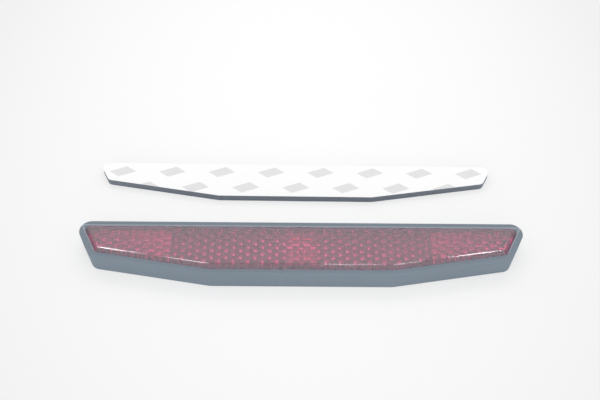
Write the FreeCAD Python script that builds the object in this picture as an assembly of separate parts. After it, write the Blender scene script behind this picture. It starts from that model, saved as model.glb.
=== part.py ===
import FreeCAD, Part
import math
import os
from FreeCAD import Vector

# Stick-on bar reflector lying on its back, with the die-cut foam pad that fixes it lying behind.
# Millimetres and degrees. The origin is the middle of the housing's back face, +Z is the way the
# lens faces, X runs along the bar and +Y points at its straight long edge.

# Outline of the housing, seen from the front
tip_span = 129.0          # overall length, between the two rounded tips
housing_width = 18.65     # straight long edge to the flat of the bowed edge
front_flat = 52.0         # flat middle of the bowed edge
end_lean = 28.1           # the ends lean in from square
front_slope = 9.65        # outer stretches of the bowed edge rise towards the ends
tip_radius = 3.4          # corner between the long edge and an end
heel_radius = 3.1         # corner between an end and the bowed edge
bend_radius = 5.0         # where the bowed edge leaves its flat middle

# Housing, a moulded tray
floor_thickness = 1.7
rim_width = 1.9           # rim around the lens
ledge_width = 0.6         # seat that carries the lens
seat_depth = 1.1          # the ledge lies this far below the rim
housing_draft = 2.0       # the walls lean in towards the back
rim_edge_radius = 0.45
back_edge_radius = 0.3
pocket_corner_radius = 0.9

# Lens, one clear moulding with a flat front and corner-cube prisms on its back
lens_gap = 0.08           # clearance to the rim, all round
weld_film = 0.05          # weld between the lens and its ledge
lens_rise = 1.15          # the front stands this far above the rim
lens_lean = 33.0          # the shoulder leans in
lens_edge_radius = 0.8
prism_pitch = 2.42        # distance between neighbouring prisms
prism_margin = 0.1        # clearance between the prism field and the housing's cavity
prism_root = 0.2          # clear wall above the roots of the prisms
prism_air = 1.15          # air behind the points of the prisms
middle_zone = 8.3         # strip in the middle, whose prisms lean outwards and to the bowed edge
middle_cant = 24.0        # outwards
middle_tilt = 12.0        # to the bowed edge
centre_zone = 74.7        # field around that strip, whose prisms lean outwards only
centre_cant = 8.0
end_cant = 2.0            # the prisms of the two end zones lean mostly to the bowed edge
end_tilt = 8.0

# Adhesive pad: foam with adhesive on both faces and a release liner on top
pad_inset = 2.9           # the pad is cut this much smaller than the housing, all round
pad_flat = 47.4           # flat middle of its bowed edge, before the inset
pad_corner_radius = 1.8
foam_thickness = 2.25
liner_thickness = 0.15
pad_distance = 28.9       # middle of the housing to middle of the pad, along Y
pad_shift = -1.75
pad_turn = -0.3


def edge_lines(inset, flat):
    """Outward normal and distance of each edge moved in by inset, clockwise from the long edge."""
    lean = math.radians(end_lean)
    slope = math.radians(front_slope)
    half_width = housing_width / 2
    sharp_tip = tip_span / 2 + tip_radius * ((1 + math.sin(lean)) / math.cos(lean) - 1)
    end_normal = Vector(math.cos(lean), -math.sin(lean), 0)
    slope_normal = Vector(math.sin(slope), -math.cos(slope), 0)
    end_line = (end_normal, end_normal.dot(Vector(sharp_tip, half_width, 0)) - inset)
    slope_line = (slope_normal, slope_normal.dot(Vector(flat / 2, -half_width, 0)) - inset)
    back_line = (Vector(0, 1, 0), half_width - inset)
    front_line = (Vector(0, -1, 0), half_width - inset)
    left_lines = [(Vector(-n.x, n.y, 0), distance) for n, distance in (slope_line, end_line)]
    return [back_line, end_line, slope_line, front_line] + left_lines


def meeting_point(first, second):
    """Point where two edge lines cross."""
    a, first_distance = first
    b, second_distance = second
    spread = a.x * b.y - a.y * b.x
    x = (first_distance * b.y - second_distance * a.y) / spread
    y = (second_distance * a.x - first_distance * b.x) / spread
    return Vector(x, y, 0)


def outline(inset, level, least_radius, flat=front_flat):
    """The housing's outline moved in by inset, as a rounded wire at height level."""
    lines = edge_lines(inset, flat)
    count = len(lines)
    corners = [meeting_point(lines[k], lines[(k + 1) % count]) for k in range(count)]
    radii = [tip_radius, heel_radius, bend_radius, bend_radius, heel_radius, tip_radius]
    arcs = []
    for k, corner in enumerate(corners):
        behind = (corners[k - 1] - corner).normalize()
        ahead = (corners[(k + 1) % count] - corner).normalize()
        inward = (behind + ahead).normalize()
        half_angle = behind.getAngle(ahead) / 2
        radius = max(radii[k] - inset, least_radius)
        reach = radius / math.tan(half_angle)
        crown = corner + inward * (radius / math.sin(half_angle) - radius)
        arcs.append([corner + behind * reach, crown, corner + ahead * reach])
    edges = []
    for k, arc in enumerate(arcs):
        edges.append(Part.Arc(*arc).toShape())
        edges.append(Part.LineSegment(arc[2], arcs[(k + 1) % count][0]).toShape())
    wire = Part.Wire(edges)
    wire.translate(Vector(0, 0, level))
    return wire


def slab(inset, bottom, top, least_radius, flat=front_flat):
    """Straight-walled solid on the inset outline between two heights."""
    return Part.Face(outline(inset, bottom, least_radius, flat)).extrude(Vector(0, 0, top - bottom))


def round_edges(solid, level, radius):
    """Round every edge that lies flat at the given height."""
    flat = [e for e in solid.Edges if all(abs(v.Z - level) < 1e-6 for v in e.Vertexes)]
    return solid.makeFillet(radius, flat)


def cube_edges(cant, tilt):
    """The three edges that meet at the point of a corner cube, the first of them along X.

    The cube leans outwards by cant, towards +X, and to the bowed edge by tilt, towards -Y.
    """
    cube_side = prism_pitch / math.sqrt(2)
    reach = cube_side * math.sqrt(2 / 3)
    rise = cube_side / math.sqrt(3)
    lean = FreeCAD.Rotation(Vector(1, 0, 0), tilt) * FreeCAD.Rotation(Vector(0, 1, 0), cant)
    edges = []
    for k in range(3):
        turn = math.radians(120 * k)
        edges.append(lean.multVec(Vector(reach * math.cos(turn), reach * math.sin(turn), rise)))
    return edges


def prism_height(edges):
    """Height of one corner cube, from its point to its highest root."""
    a, b, c = edges
    return max(corner.z for corner in (a, b, c, a + b, b + c, c + a))


# Corner cubes of the three kinds of zone, on the right half
middle_cube = cube_edges(middle_cant, middle_tilt)
centre_cube = cube_edges(centre_cant, 0)
end_cube = cube_edges(end_cant, end_tilt)

# Heights that the pieces share, stacked from the back face
prism_depth = max(prism_height(cube) for cube in (middle_cube, centre_cube, end_cube))
cavity_level = floor_thickness
root_level = cavity_level + prism_air + prism_depth
flange_level = root_level + prism_root
ledge_level = flange_level - weld_film
rim_level = ledge_level + seat_depth
lens_level = rim_level + lens_rise


def make_housing():
    draft_inset = rim_level * math.tan(math.radians(housing_draft))
    back_outline = outline(draft_inset, 0, pocket_corner_radius)
    rim_outline = outline(0, rim_level, pocket_corner_radius)
    block = Part.makeLoft([back_outline, rim_outline], True, True)
    block = round_edges(block, 0, back_edge_radius)
    block = round_edges(block, rim_level, min(rim_edge_radius, rim_width * 0.45))
    pocket = slab(rim_width, ledge_level, rim_level, pocket_corner_radius)
    cavity = slab(rim_width + ledge_width, cavity_level, ledge_level, pocket_corner_radius)
    return block.cut([pocket, cavity]).Solids[0]


def polygon(*corners):
    return Part.Face(Part.makePolygon(list(corners) + [corners[0]]))


def prism_sheet(start, end, cube):
    """Back surface of the lens from start to end along X: columns of corner cubes with points down.

    All points lie at one height. Upright steps close the differences in height that the lean leaves
    between neighbouring cubes. The first column stands half a column in from the start.
    """
    a, b, c = cube
    across = Vector(a.x - b.x, a.y - b.y, 0)
    along = Vector(b.x - c.x, b.y - c.y, 0)
    first_point = Vector(start + across.x / 2, 0, root_level - prism_height(cube))
    borders = [(a + c, a, a - b), (a, a + b, a - c), (a + b, b, b - c)]
    column_count = math.ceil((end - start) / across.x) + 2
    row_count = math.ceil(housing_width / 2 / along.y) + 2
    faces = []
    for column in range(-2, column_count):
        for row in range(-row_count, row_count + 1):
            point = first_point + across * column + along * (row + column // 2)
            for first, second in ((a, b), (b, c), (c, a)):
                faces.append(polygon(point, point + first, point + first + second, point + second))
            for first, second, shift in borders:
                step = Vector(0, 0, -shift.z)
                low, high = point + first, point + second
                if abs(step.z) > 1e-6:
                    faces.append(polygon(low, high, high + step, low + step))
    sheet = Part.makeCompound(faces)
    sheet.sewShape()
    return sheet


def prism_zone(start, end, cube):
    """Solid zone of prisms between two places along X."""
    inset = rim_width + ledge_width + prism_margin
    field = slab(inset, cavity_level, rim_level, pocket_corner_radius)
    window = Part.makeBox(end - start, housing_width, rim_level, Vector(start, -housing_width / 2, 0))
    blank = field.common(window)
    pieces = blank.generalFuse([prism_sheet(start, end, cube)])[0].Solids
    return max(pieces, key=lambda piece: piece.CenterOfMass.z)


def make_lens():
    foot_inset = rim_width + lens_gap
    top_inset = foot_inset + lens_rise * math.tan(math.radians(lens_lean))
    sections = [
        outline(foot_inset, flange_level, pocket_corner_radius),
        outline(foot_inset, rim_level, pocket_corner_radius),
        outline(top_inset, lens_level, pocket_corner_radius),
    ]
    plate = Part.makeLoft(sections, True, True)
    plate = round_edges(plate, lens_level, lens_edge_radius)
    right_zones = [
        prism_zone(0, middle_zone / 2, middle_cube),
        prism_zone(middle_zone / 2, centre_zone / 2, centre_cube),
        prism_zone(centre_zone / 2, tip_span / 2, end_cube),
    ]
    left_zones = [zone.mirror(Vector(0, 0, 0), Vector(1, 0, 0)) for zone in right_zones]
    return plate.fuse(right_zones + left_zones).removeSplitter().Solids[0]


def make_pad_layer(bottom, top):
    layer = slab(pad_inset, bottom, top, pad_corner_radius, pad_flat)
    layer.rotate(Vector(0, 0, 0), Vector(0, 0, 1), pad_turn)
    layer.translate(Vector(pad_shift, pad_distance, 0))
    return layer


os.makedirs("parts", exist_ok=True)
pieces = {
    "housing": make_housing(),
    "lens": make_lens(),
    "foam_pad": make_pad_layer(0, foam_thickness),
    "release_liner": make_pad_layer(foam_thickness, foam_thickness + liner_thickness),
}
for name, shape in pieces.items():
    shape.exportStep(f"parts/{name}.step")
    print(name, f"{shape.Volume:.1f} mm3", "valid" if shape.isValid() else "not valid")
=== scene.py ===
import bpy
import math
from mathutils import Matrix, Vector


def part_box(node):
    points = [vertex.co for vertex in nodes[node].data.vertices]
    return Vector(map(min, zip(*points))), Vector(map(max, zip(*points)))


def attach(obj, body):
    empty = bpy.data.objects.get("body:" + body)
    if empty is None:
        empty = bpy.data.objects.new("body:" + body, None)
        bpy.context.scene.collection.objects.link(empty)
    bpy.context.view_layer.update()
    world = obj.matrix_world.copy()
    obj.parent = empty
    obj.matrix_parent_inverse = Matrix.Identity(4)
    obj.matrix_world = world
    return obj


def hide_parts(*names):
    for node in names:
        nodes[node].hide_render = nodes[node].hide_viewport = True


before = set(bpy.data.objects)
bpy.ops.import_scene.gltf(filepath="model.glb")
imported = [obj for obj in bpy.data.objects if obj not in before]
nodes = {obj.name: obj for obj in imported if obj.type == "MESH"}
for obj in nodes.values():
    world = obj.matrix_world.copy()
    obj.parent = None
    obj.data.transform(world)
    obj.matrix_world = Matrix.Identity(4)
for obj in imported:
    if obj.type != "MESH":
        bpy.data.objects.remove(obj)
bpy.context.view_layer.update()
scene = bpy.context.scene
scene.view_settings.view_transform = "Standard"


# Housing
# The reflector's tray, one moulding of slate grey plastic with a fine satin grain from its mould.
# Its rim frames the lens, which is welded into it, and carries a painted highlight along its inner
# edge. The shape is the CAD solid's own.
housing_dark = (0.160, 0.200, 0.242, 1)
housing_light = (0.186, 0.230, 0.275, 1)
housing_fleck = (0.33, 0.36, 0.39, 1)
housing_edge_highlight = (0.32, 0.365, 0.42, 1)
housing_dust_share = 0.3
housing_roughness = (0.5, 0.66)
housing_shine = 0.3
fleck_rarity = 0.8
rim_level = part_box("housing")[1][2]
rim_skin = 0.0001
end_lean = math.radians(28.1)
lens_end_distance = 0.05252
edge_line_width = 0.00036
edge_line_start = -0.0014
far_edge_gap = 0.0002


def add_node(tree, kind, inputs=None, **settings):
    """A new node with its settings made and its inputs set, or linked where a socket is given."""
    made = tree.nodes.new(kind)
    for name, value in settings.items():
        setattr(made, name, value)
    for key, value in (inputs or {}).items():
        if isinstance(value, bpy.types.NodeSocket):
            tree.links.new(value, made.inputs[key])
        else:
            made.inputs[key].default_value = value
    return made


def new_material(name):
    """A node material, with its tree, its Principled shader and its place on the piece."""
    material = bpy.data.materials.new(name)
    material.use_nodes = True
    tree = material.node_tree
    shader = tree.nodes["Principled BSDF"]
    place = add_node(tree, "ShaderNodeTexCoord").outputs["Object"]
    return material, tree, shader, place


def blend_colours(tree, factor, first, second):
    """The colour between two others."""
    mix = add_node(tree, "ShaderNodeMix", {0: factor, 6: first, 7: second}, data_type="RGBA")
    return mix.outputs[2]


def stretch(tree, mask, low, high):
    """A mask from 0 to 1 stretched over another range."""
    return add_node(tree, "ShaderNodeMapRange", {"Value": mask, "To Min": low, "To Max": high}).outputs[0]


def calculate(tree, operation, first, second=0.0):
    """One step of arithmetic on sockets or numbers."""
    return add_node(tree, "ShaderNodeMath", {0: first, 1: second}, operation=operation).outputs[0]


def multiply(tree, first, second):
    return calculate(tree, "MULTIPLY", first, second)


def larger(tree, first, second):
    return calculate(tree, "MAXIMUM", first, second)


def within(tree, value, low, high):
    """1 where a value lies between two others, and 0 elsewhere."""
    inputs = {0: value, 1: (low + high) / 2, 2: (high - low) / 2}
    return add_node(tree, "ShaderNodeMath", inputs, operation="COMPARE").outputs[0]


def coordinates(tree, place):
    return add_node(tree, "ShaderNodeSeparateXYZ", {0: place}).outputs


def raise_grain(tree, shader, grain, strength, height):
    """A fine relief on a surface, from a mask and the height of its bumps in metres."""
    bump = add_node(tree, "ShaderNodeBump", {"Height": grain, "Strength": strength, "Distance": height})
    tree.links.new(bump.outputs["Normal"], shader.inputs["Normal"])


# The marks that every surface of the reflector has in some measure: a fine grain, a slow change
# of tone, and scattered flecks of dust.
surface_marks = bpy.data.node_groups.new("surface_marks", "ShaderNodeTree")
surface_marks.interface.new_socket("Place", in_out="INPUT", socket_type="NodeSocketVector")
for name in ("Grain Scale", "Cloud Scale", "Fleck Scale", "Fleck Size"):
    surface_marks.interface.new_socket(name, in_out="INPUT", socket_type="NodeSocketFloat")
for name in ("Grain", "Cloud", "Flecks"):
    surface_marks.interface.new_socket(name, in_out="OUTPUT", socket_type="NodeSocketFloat")
given = add_node(surface_marks, "NodeGroupInput").outputs
grain_noise = add_node(surface_marks, "ShaderNodeTexNoise",
                       {"Vector": given["Place"], "Scale": given["Grain Scale"], "Detail": 2.0})
cloud_noise = add_node(surface_marks, "ShaderNodeTexNoise",
                       {"Vector": given["Place"], "Scale": given["Cloud Scale"], "Detail": 3.0})
fleck_cells = add_node(surface_marks, "ShaderNodeTexVoronoi",
                       {"Vector": given["Place"], "Scale": given["Fleck Scale"]})
fleck_choice = add_node(surface_marks, "ShaderNodeSeparateColor", {0: fleck_cells.outputs["Color"]})
fleck_chosen = calculate(surface_marks, "GREATER_THAN", fleck_choice.outputs[0], fleck_rarity)
fleck_spot = calculate(surface_marks, "LESS_THAN", fleck_cells.outputs["Distance"], given["Fleck Size"])
add_node(surface_marks, "NodeGroupOutput", {
    "Grain": grain_noise.outputs[0],
    "Cloud": cloud_noise.outputs[0],
    "Flecks": multiply(surface_marks, fleck_chosen, fleck_spot),
})


def add_marks(tree, place, grain_scale, cloud_scale, fleck_scale, fleck_size):
    """The surface marks of one material, at scales per metre."""
    inputs = {"Place": place, "Grain Scale": grain_scale, "Cloud Scale": cloud_scale,
              "Fleck Scale": fleck_scale, "Fleck Size": fleck_size}
    return add_node(tree, "ShaderNodeGroup", inputs, node_tree=surface_marks).outputs


def end_reach(tree, spread):
    """Distance of a place from the middle, measured squarely to the leaning end of its own half."""
    along = multiply(tree, calculate(tree, "ABSOLUTE", spread["X"]), math.cos(end_lean))
    return calculate(tree, "SUBTRACT", along, multiply(tree, spread["Y"], math.sin(end_lean)))


def dress(node, material):
    """Put a material on a CAD node as it stands."""
    nodes[node].data.materials.clear()
    nodes[node].data.materials.append(material)


housing_material, tree, shader, place = new_material("housing_plastic")
marks = add_marks(tree, place, grain_scale=2600.0, cloud_scale=55.0, fleck_scale=420.0, fleck_size=0.1)
housing_tone = blend_colours(tree, marks["Cloud"], housing_dark, housing_light)
housing_dust = multiply(tree, marks["Flecks"], housing_dust_share)
housing_paint = blend_colours(tree, housing_dust, housing_tone, housing_fleck)
spread = coordinates(tree, place)
# Painted highlight: a thin line on the rim's inner edge beside the lens, on the far side and round the ends,
# is lighter in colour.
past_far = calculate(tree, "SUBTRACT", spread["Y"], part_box("lens")[1][1] + far_edge_gap)
past_end = calculate(tree, "SUBTRACT", end_reach(tree, spread), lens_end_distance)
beside_lens = within(tree, larger(tree, past_far, past_end), 0.0, edge_line_width)
on_rim = calculate(tree, "GREATER_THAN", spread["Z"], rim_level - rim_skin)
past_heel = calculate(tree, "GREATER_THAN", spread["Y"], edge_line_start)
painted_edge_highlight = multiply(tree, beside_lens, multiply(tree, on_rim, past_heel))
tree.links.new(blend_colours(tree, painted_edge_highlight, housing_paint, housing_edge_highlight), shader.inputs["Base Color"])
tree.links.new(stretch(tree, marks["Cloud"], *housing_roughness), shader.inputs["Roughness"])
shader.inputs["Specular IOR Level"].default_value = housing_shine
raise_grain(tree, shader, marks["Grain"], strength=0.25, height=0.00006)
dress("housing", housing_material)


# Lens
# One moulding of clear red plastic, polished in front and welded to the housing's ledge. The prisms
# on its back, which send light back where it comes from, are the CAD solid's own, and the front is
# drawn afresh in finer steps, so that its rounded edge carries a clean line of light.
lens_absorb = (0.925, 0.033, 0.475, 1)
lens_density = 300.0
lens_clear = (1.0, 0.7, 0.95, 1)
lens_hazy = (0.95, 0.78, 0.92, 1)
lens_shoulder_shade = (0.45, 0.4, 0.6, 1)
lens_index = 1.56
lens_clarity = 0.965
lens_dust_roughness = 0.35
rounding_roughness = 0.06
end_roughness = 0.45
end_gloss = 0.6
gloss_index = 1.6
gloss_roughness = 0.06
lens_lean = math.radians(33)
lens_round = 0.00065
lens_round_steps = 12
lens_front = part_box("lens")[1][2]
front_skin = 0.0001
edge_skin = 0.000005
end_margin = 0.001
place_digits = 7
near = 1e-6


def lens_rings():
    """Inset, height and tilt of the normal for each ring of the front, from the rim upwards."""
    sharp_inset = (lens_front - rim_level) * math.tan(lens_lean)
    centre_inset = sharp_inset + lens_round * math.tan((math.pi / 2 - lens_lean) / 2)
    rings = [(0.0, rim_level, lens_lean)]
    for step in range(lens_round_steps + 1):
        tilt = lens_lean + (math.pi / 2 - lens_lean) * step / lens_round_steps
        inset = centre_inset - lens_round * math.cos(tilt)
        rings.append((inset, lens_front - lens_round + lens_round * math.sin(tilt), tilt))
    return rings


def square_to(run):
    """A level vector square to a run along the rim, pointing outwards and as long as the run."""
    return Vector((run.y, -run.x, 0))


def make_lens(material):
    """The lens as one closed mesh: the CAD solid up to the rim, with the finer front on top."""
    solid = nodes["lens"].data
    numbers, faces, normals = {}, [], []
    for face in solid.polygons:
        corners = [tuple(round(c, place_digits) for c in solid.vertices[k].co) for k in face.vertices]
        top = max(corner[2] for corner in corners)
        if top < rim_level + near and len(set(corners)) == len(corners):
            faces.append([numbers.setdefault(corner, len(numbers)) for corner in corners])
            normals += [face.normal.copy()] * len(corners)
    places = [Vector(corner) for corner in numbers]

    loop = [k for k, corner in enumerate(places) if abs(corner.z - rim_level) < near]
    loop.sort(key=lambda k: math.atan2(places[k].y, places[k].x))
    outward = []
    for k, here in enumerate(loop):
        next_run = places[loop[(k + 1) % len(loop)]] - places[here]
        last_run = places[here] - places[loop[k - 1]]
        square = square_to(next_run) * next_run.length + square_to(last_run) * last_run.length
        outward.append(square.normalized())

    rings = lens_rings()
    ring_corners = [loop]
    for inset, height, tilt in rings[1:]:
        ring_corners.append(list(range(len(places), len(places) + len(loop))))
        for k, out in zip(loop, outward):
            places.append(Vector((places[k].x, places[k].y, height)) - out * inset)
    for low in range(len(rings) - 1):
        tilts = [rings[max(low, 1)][2], rings[low + 1][2]]
        for k in range(len(loop)):
            ahead = (k + 1) % len(loop)
            around = ((0, k), (0, ahead), (1, ahead), (1, k))
            faces.append([ring_corners[low + end][corner] for end, corner in around])
            for end, corner in around:
                upward = Vector((0, 0, math.sin(tilts[end])))
                normals.append(outward[corner] * math.cos(tilts[end]) + upward)
    faces.append(ring_corners[-1])
    normals += [Vector((0, 0, 1))] * len(loop)

    mesh = bpy.data.meshes.new("lens_moulding")
    mesh.from_pydata(places, [], faces)
    mesh.normals_split_custom_set(normals)
    mesh.materials.append(material)
    piece = bpy.data.objects.new("lens_moulding", mesh)
    scene.collection.objects.link(piece)
    return piece


lens_material, tree, shader, place = new_material("lens_plastic")
shader.inputs["IOR"].default_value = lens_index
shader.inputs["Transmission Weight"].default_value = lens_clarity
shader.inputs["Coat IOR"].default_value = gloss_index
shader.inputs["Coat Roughness"].default_value = gloss_roughness
absorb = add_node(tree, "ShaderNodeVolumeAbsorption", {"Color": lens_absorb, "Density": lens_density})
tree.links.new(absorb.outputs["Volume"], tree.nodes["Material Output"].inputs["Volume"])
marks = add_marks(tree, place, grain_scale=300.0, cloud_scale=90.0, fleck_scale=500.0, fleck_size=0.12)
spread = coordinates(tree, place)
on_front = calculate(tree, "GREATER_THAN", spread["Z"], lens_front - front_skin)
on_edge = within(tree, spread["Z"], rim_level + edge_skin, lens_front - edge_skin)
shoulder_level = lens_front - lens_round * (1 - math.sin(lens_lean))
on_rounding = multiply(tree, on_edge, calculate(tree, "GREATER_THAN", spread["Z"], shoulder_level))
at_end = calculate(tree, "GREATER_THAN", end_reach(tree, spread), lens_end_distance - end_margin)
on_end = multiply(tree, on_edge, at_end)
on_shoulder = calculate(tree, "SUBTRACT", on_edge, larger(tree, on_rounding, on_end))
lens_dust = multiply(tree, marks["Flecks"], on_front)
lens_tint = blend_colours(tree, lens_dust, lens_clear, lens_hazy)
# Painted shade: the shoulder between the rim and the rounded edge is tinted a darker purple.
tree.links.new(blend_colours(tree, on_shoulder, lens_tint, lens_shoulder_shade), shader.inputs["Base Color"])
rounding_wear = multiply(tree, on_rounding, rounding_roughness)
edge_wear = larger(tree, rounding_wear, multiply(tree, on_end, end_roughness))
lens_wear = larger(tree, multiply(tree, lens_dust, lens_dust_roughness), edge_wear)
tree.links.new(lens_wear, shader.inputs["Roughness"])
edge_gloss = larger(tree, on_rounding, multiply(tree, on_end, end_gloss))
tree.links.new(edge_gloss, shader.inputs["Coat Weight"])
lens = make_lens(lens_material)
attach(lens, "root")
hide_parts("lens")


# Foam pad
# Closed-cell foam tape, dark grey, with adhesive on both faces, die-cut a little smaller than the
# housing. The knife leaves a slightly hollow wall in which the open cells show as pits.
foam_spacing = 0.00016
foam_layers = 15
foam_waist = 0.00007
foam_wander = 0.00006
wander_scale = 180.0
cell_depth = 0.00011
cell_scale = 3200.0
cell_floor = 0.15
cell_brim = 0.5
plain_margin = 0.02
pitted_margin = 0.4
foam_dark = (0.15, 0.172, 0.203, 1)
foam_light = (0.23, 0.26, 0.302, 1)
foam_dust_share = 0.4
foam_roughness = (0.82, 0.98)


def middle_of(node):
    low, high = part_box(node)
    return (Vector(low) + Vector(high)) / 2


def pad_loop(node):
    """The outline of a pad layer, as a closed loop of edges at the layer's lower face."""
    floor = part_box(node)[0][2]
    lowest = [vertex.co for vertex in nodes[node].data.vertices if vertex.co.z < floor + near]
    corners = {(round(co.x, place_digits), round(co.y, place_digits)) for co in lowest}
    middle = middle_of(node)
    ring = sorted(corners, key=lambda corner: math.atan2(corner[1] - middle.y, corner[0] - middle.x))
    edges = [(k, (k + 1) % len(ring)) for k in range(len(ring))]
    loop = bpy.data.meshes.new(node + "_loop")
    loop.from_pydata([(x, y, floor) for x, y in ring], edges, [])
    return loop


def scale_vector(tree, vector, amount):
    return add_node(tree, "ShaderNodeVectorMath", {0: vector, "Scale": amount}, operation="SCALE").outputs[0]


def make_die_cut_tree():
    """A layer cut from sheet: its outline swept up to its thickness, with a pitted, hollow wall."""
    tree = bpy.data.node_groups.new("die_cut_layer", "GeometryNodeTree")
    tree.interface.new_socket("Outline", in_out="INPUT", socket_type="NodeSocketGeometry")
    for name in ("Thickness", "Spacing", "Waist", "Wander", "Pit Depth", "Pit Scale"):
        tree.interface.new_socket(name, in_out="INPUT", socket_type="NodeSocketFloat")
    tree.interface.new_socket("Layers", in_out="INPUT", socket_type="NodeSocketInt")
    tree.interface.new_socket("Material", in_out="INPUT", socket_type="NodeSocketMaterial")
    tree.interface.new_socket("Layer", in_out="OUTPUT", socket_type="NodeSocketGeometry")
    given = add_node(tree, "NodeGroupInput").outputs

    # The outline in even steps, which wander a little as the knife does
    outline = add_node(tree, "GeometryNodeMeshToCurve", {"Mesh": given["Outline"]})
    even = add_node(tree, "GeometryNodeResampleCurve",
                    {"Curve": outline.outputs[0], "Length": given["Spacing"]}, mode="LENGTH")
    here = add_node(tree, "GeometryNodeInputPosition").outputs[0]
    drift = add_node(tree, "ShaderNodeTexNoise", {"Vector": here, "Scale": wander_scale, "Detail": 1.0})
    centred = add_node(tree, "ShaderNodeVectorMath", {0: drift.outputs["Color"], 1: (0.5, 0.5, 0.5)},
                       operation="SUBTRACT")
    level_step = add_node(tree, "ShaderNodeVectorMath", {0: centred.outputs[0], 1: (1, 1, 0)},
                          operation="MULTIPLY")
    wander = scale_vector(tree, level_step.outputs[0], given["Wander"])
    brim = add_node(tree, "GeometryNodeSetPosition", {"Geometry": even.outputs[0], "Offset": wander})

    # The wall, swept up in layers
    thickness = given["Thickness"]
    drop = add_node(tree, "ShaderNodeCombineXYZ", {"Y": multiply(tree, thickness, -1.0)})
    post = add_node(tree, "GeometryNodeCurvePrimitiveLine", {"End": drop.outputs[0]})
    profile = add_node(tree, "GeometryNodeResampleCurve",
                       {"Curve": post.outputs[0], "Count": given["Layers"]})
    wall = add_node(tree, "GeometryNodeCurveToMesh",
                    {"Curve": brim.outputs[0], "Profile Curve": profile.outputs[0]})
    outer_wall = add_node(tree, "GeometryNodeFlipFaces", {"Mesh": wall.outputs[0]})

    # The hollow of the wall and the pits of the open cells, which stay clear of its two edges
    height = coordinates(tree, here)["Z"]
    hollow = calculate(tree, "SINE", multiply(tree, calculate(tree, "DIVIDE", height, thickness), math.pi))
    cells = add_node(tree, "ShaderNodeTexVoronoi", {"Vector": here, "Scale": given["Pit Scale"]})
    pit = add_node(tree, "ShaderNodeMapRange", {"Value": cells.outputs["Distance"], "From Min": cell_floor,
                                                "From Max": cell_brim, "To Min": 1.0, "To Max": 0.0})
    clear_of_edges = add_node(tree, "ShaderNodeMapRange", {"Value": hollow, "From Min": plain_margin,
                                                           "From Max": pitted_margin})
    pit_share = multiply(tree, pit.outputs[0], clear_of_edges.outputs[0])
    pit_depth = multiply(tree, pit_share, given["Pit Depth"])
    depth = calculate(tree, "ADD", pit_depth, multiply(tree, hollow, given["Waist"]))
    outwards = add_node(tree, "GeometryNodeInputNormal").outputs[0]
    sink = scale_vector(tree, outwards, multiply(tree, depth, -1.0))
    cut_wall = add_node(tree, "GeometryNodeSetPosition", {"Geometry": outer_wall.outputs[0], "Offset": sink})

    # The two faces, and the layer closed and painted
    rise = add_node(tree, "ShaderNodeCombineXYZ", {"Z": thickness})
    face = add_node(tree, "GeometryNodeFillCurve", {"Curve": brim.outputs[0]})
    upper = add_node(tree, "GeometryNodeTransform",
                     {"Geometry": face.outputs[0], "Translation": rise.outputs[0]})
    lower = add_node(tree, "GeometryNodeFlipFaces", {"Mesh": face.outputs[0]})
    joined = add_node(tree, "GeometryNodeJoinGeometry")
    for part in (cut_wall, upper, lower):
        tree.links.new(part.outputs[0], joined.inputs[0])
    closed = add_node(tree, "GeometryNodeMergeByDistance", {"Geometry": joined.outputs[0], "Distance": near})
    real = add_node(tree, "GeometryNodeRealizeInstances", {"Geometry": closed.outputs[0]})
    painted = add_node(tree, "GeometryNodeSetMaterial",
                       {"Geometry": real.outputs[0], "Material": given["Material"]})
    add_node(tree, "NodeGroupOutput", {"Layer": painted.outputs[0]})
    return tree


def make_layer(name, node, tree, sizes):
    """A pad layer as a plain mesh, cut by the tree from the outline of its CAD solid."""
    maker = bpy.data.objects.new(name + "_maker", pad_loop(node))
    scene.collection.objects.link(maker)
    cut = maker.modifiers.new("cut", "NODES")
    cut.node_group = tree
    for item in tree.interface.items_tree:
        if item.in_out == "INPUT" and item.name in sizes:
            cut[item.identifier] = sizes[item.name]
    evaluated = maker.evaluated_get(bpy.context.evaluated_depsgraph_get())
    mesh = bpy.data.meshes.new_from_object(evaluated)
    bpy.data.objects.remove(maker)
    mesh.name = name
    piece = bpy.data.objects.new(name, mesh)
    scene.collection.objects.link(piece)
    return piece


foam_material, tree, shader, place = new_material("pad_foam")
marks = add_marks(tree, place, grain_scale=3800.0, cloud_scale=160.0, fleck_scale=900.0, fleck_size=0.2)
foam_tone = blend_colours(tree, marks["Grain"], foam_dark, foam_light)
foam_dust = multiply(tree, marks["Flecks"], foam_dust_share)
tree.links.new(blend_colours(tree, foam_dust, foam_tone, foam_light), shader.inputs["Base Color"])
tree.links.new(stretch(tree, marks["Cloud"], *foam_roughness), shader.inputs["Roughness"])
raise_grain(tree, shader, marks["Grain"], strength=0.5, height=0.00008)

die_cut_tree = make_die_cut_tree()
foam_low, foam_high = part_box("foam_pad")
foam = make_layer("foam", "foam_pad", die_cut_tree, {
    "Thickness": foam_high[2] - foam_low[2],
    "Spacing": foam_spacing,
    "Layers": foam_layers,
    "Waist": foam_waist,
    "Wander": foam_wander,
    "Pit Depth": cell_depth,
    "Pit Scale": cell_scale,
    "Material": foam_material,
})
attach(foam, "root")
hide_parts("foam_pad")


# Release liner
# White siliconed paper that covers the upper adhesive until the pad is used, printed with pale
# grey lozenges and cut through together with the foam. The shape is the CAD solid's own.
liner_white = (0.95, 0.95, 0.95, 1)
liner_shade = (0.915, 0.915, 0.92, 1)
liner_print = (0.69, 0.69, 0.695, 1)
liner_roughness = (0.42, 0.55)
print_pitch = 0.0155
print_row = 0.0062
print_length = 0.0042
print_height = 0.0021
print_slant = 0.55
print_blur = 0.04
print_strength = (0.7, 1.0)

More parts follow.
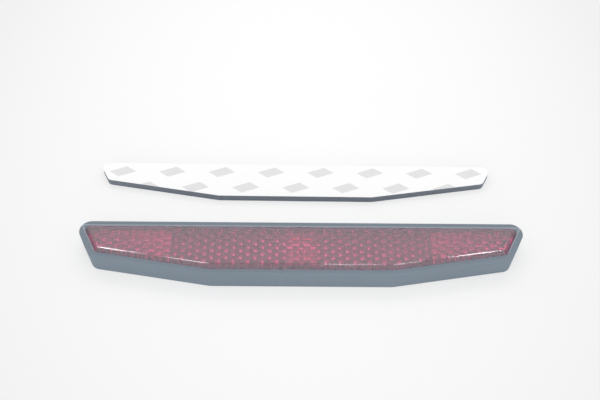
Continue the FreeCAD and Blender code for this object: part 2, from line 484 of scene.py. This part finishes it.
liner_material, tree, shader, place = new_material("liner_paper")
marks = add_marks(tree, place, grain_scale=1800.0, cloud_scale=60.0, fleck_scale=260.0, fleck_size=0.06)
sheet_place = add_node(tree, "ShaderNodeMapping", {"Vector": place, "Location": -middle_of("release_liner")})
spread = coordinates(tree, sheet_place.outputs[0])
row_place = calculate(tree, "DIVIDE", spread["Y"], print_row)
row = calculate(tree, "FLOOR", row_place)
row_share = calculate(tree, "SUBTRACT", row_place, row)
up = multiply(tree, calculate(tree, "SUBTRACT", row_share, 0.5), print_row)
stagger = multiply(tree, calculate(tree, "PINGPONG", row, 1.0), print_pitch / 2)
slanted = calculate(tree, "SUBTRACT", spread["X"], multiply(tree, up, print_slant))
column_place = calculate(tree, "DIVIDE", calculate(tree, "ADD", slanted, stagger), print_pitch)
column_share = calculate(tree, "FRACT", column_place)
across = multiply(tree, calculate(tree, "SUBTRACT", column_share, 0.5), print_pitch)
reach_across = calculate(tree, "DIVIDE", calculate(tree, "ABSOLUTE", across), print_length)
reach_up = calculate(tree, "DIVIDE", calculate(tree, "ABSOLUTE", up), print_height)
reach = calculate(tree, "ADD", reach_across, reach_up)
lozenge = add_node(tree, "ShaderNodeMapRange", {"Value": reach, "From Min": 1.0 - print_blur,
                                                "From Max": 1.0 + print_blur, "To Min": 1.0, "To Max": 0.0})
ink = multiply(tree, lozenge.outputs[0], stretch(tree, marks["Grain"], *print_strength))
paper = blend_colours(tree, marks["Cloud"], liner_shade, liner_white)
tree.links.new(blend_colours(tree, ink, paper, liner_print), shader.inputs["Base Color"])
tree.links.new(stretch(tree, marks["Cloud"], *liner_roughness), shader.inputs["Roughness"])
raise_grain(tree, shader, marks["Grain"], strength=0.1, height=0.00004)
dress("release_liner", liner_material)


# Table and camera
# The reflector lies on a plain pale table that runs on without an edge. A painted pool of light makes it
# brightest behind the pad and darker towards the sides and front. It is seen from the front and well above,
# at about fifty degrees.
table_half = 3.0
table_colour = (0.93, 0.93, 0.93, 1)
table_roughness = 0.9
table_shine = 0.1
table_lift = 0.6
table_peak = 0.07
table_peak_tone = 1.02
table_least_tone = 0.83
table_fall_across = 15.0
table_fall_along = 7.0
white = (1, 1, 1, 1)
camera_place = Vector((-0.00222, -0.13943, 0.19771))
camera_dip = math.radians(50.6)
camera_turn = math.radians(0.65)
camera_roll = math.radians(-0.96)
camera_lens = 49.6
camera_sensor = 36


def seen_at_all(tree):
    """1 for what the camera sees, straight or through gloss and glass, and 0 for light on other things."""
    path = add_node(tree, "ShaderNodeLightPath").outputs
    mirrored = larger(tree, path["Is Glossy Ray"], path["Is Transmission Ray"])
    return larger(tree, path["Is Camera Ray"], mirrored)


def fall_off(tree, distance, rate):
    """Loss of brightness with the square of a distance."""
    return multiply(tree, calculate(tree, "POWER", distance, 2.0), rate)


table_mesh = bpy.data.meshes.new("table")
table_corners = [(x * table_half, y * table_half, 0) for x, y in ((-1, -1), (1, -1), (1, 1), (-1, 1))]
table_mesh.from_pydata(table_corners, [], [(0, 1, 2, 3)])
table = bpy.data.objects.new("table", table_mesh)
scene.collection.objects.link(table)
table_material, tree, shader, place = new_material("table_paper")
shader.inputs["Base Color"].default_value = table_colour
shader.inputs["Roughness"].default_value = table_roughness
shader.inputs["Specular IOR Level"].default_value = table_shine
spread = coordinates(tree, place)
# Painted pool of light: the table's glow is strongest just behind the pad and fades with distance, down to a
# least tone.
loss_across = fall_off(tree, spread["X"], table_fall_across)
loss_along = fall_off(tree, calculate(tree, "SUBTRACT", spread["Y"], table_peak), table_fall_along)
table_loss = calculate(tree, "ADD", loss_across, loss_along)
painted_light_pool = larger(tree, calculate(tree, "SUBTRACT", table_peak_tone, table_loss), table_least_tone)
glow = add_node(tree, "ShaderNodeEmission", {"Color": white, "Strength": painted_light_pool})
lift_share = multiply(tree, seen_at_all(tree), table_lift)
lift = add_node(tree, "ShaderNodeMixShader", {0: lift_share, 1: shader.outputs[0], 2: glow.outputs[0]})
tree.links.new(lift.outputs[0], tree.nodes["Material Output"].inputs["Surface"])
table_mesh.materials.append(table_material)

camera_data = bpy.data.cameras.new("camera")
camera_data.sensor_width = camera_sensor
camera_data.sensor_fit = "HORIZONTAL"
camera_data.lens = camera_lens
camera_data.clip_start = 0.01
camera = bpy.data.objects.new("camera", camera_data)
look = Matrix.Rotation(-camera_turn, 4, "Z") @ Matrix.Rotation(math.pi / 2 - camera_dip, 4, "X")
camera.matrix_world = Matrix.Translation(camera_place) @ look @ Matrix.Rotation(-camera_roll, 4, "Z")
scene.collection.objects.link(camera)
scene.camera = camera


# Studio light
# A pale tent all round gives most of the light. A lamp behind the camera wakes the prisms, which
# send its light back, a wide box behind the bar lays a pale sheen over the flat lens, and narrow
# strips overhead draw the bright lines along the lens's front edge.
tent_strength = 0.91
tent_wall_strength = 0.98
prism_lamp_reach = 2.9
strip_length = 0.9
slope_spin = 10.5

world = bpy.data.worlds.new("tent")
world.use_nodes = True
tree = world.node_tree
tent_light = tree.nodes["Background"]
tent_light.inputs["Color"].default_value = white
tent_light.inputs["Strength"].default_value = tent_strength
tent_wall = add_node(tree, "ShaderNodeBackground", {"Color": white, "Strength": tent_wall_strength})
tent = add_node(tree, "ShaderNodeMixShader",
                {0: seen_at_all(tree), 1: tent_light.outputs[0], 2: tent_wall.outputs[0]})
tree.links.new(tent.outputs[0], tree.nodes["World Output"].inputs["Surface"])
scene.world = world


def soft_box(name, place, size, brightness, spin=0.0):
    """A flat lamp of an even brightness, aimed at the middle of the bar and spun about that aim."""
    data = bpy.data.lights.new(name, "AREA")
    data.shape = "RECTANGLE"
    data.size, data.size_y = size
    data.energy = brightness * math.pi * size[0] * size[1]
    lamp = bpy.data.objects.new(name, data)
    away = Vector(place).normalized()
    level = (Vector((1, 0, 0)) - away * away.x).normalized()
    turn = Matrix((level, away.cross(level), away)).transposed().to_4x4()
    lamp.matrix_world = Matrix.Translation(place) @ turn @ Matrix.Rotation(math.radians(spin), 4, "Z")
    scene.collection.objects.link(lamp)
    return lamp


def line_strip(name, along, height, width, brightness, spin=0.0):
    """A long narrow lamp above the bar that shows in polished surfaces and lights nothing else."""
    lamp = soft_box(name, (along, 0, height), (width, strip_length), brightness, spin)
    lamp.visible_diffuse = False
    lamp.visible_transmission = False


soft_box("front_core", camera_place * prism_lamp_reach, size=(0.14, 0.14), brightness=1.7)
back_box = soft_box("back_box", (0.01, 0.695, 0.958), size=(1.0, 0.24), brightness=2.2)
back_box.visible_transmission = False
soft_box("fill_box", (0, -1.2, 0.25), size=(1.6, 0.3), brightness=2.2)
line_strip("left_box", along=-0.393, height=1.0, width=0.034, brightness=12, spin=-slope_spin)
line_strip("left_fade", along=-0.38, height=1.02, width=0.08, brightness=4, spin=-slope_spin)
line_strip("left_strip", along=-0.265, height=1.0, width=0.065, brightness=6, spin=-slope_spin)
line_strip("right_box", along=0.386, height=1.0, width=0.05, brightness=9, spin=slope_spin)
line_strip("right_fade", along=0.385, height=1.02, width=0.08, brightness=4, spin=slope_spin)
line_strip("right_strip", along=0.265, height=1.0, width=0.055, brightness=4, spin=slope_spin)
line_strip("middle_strip", along=0.09, height=1.0, width=0.09, brightness=4)
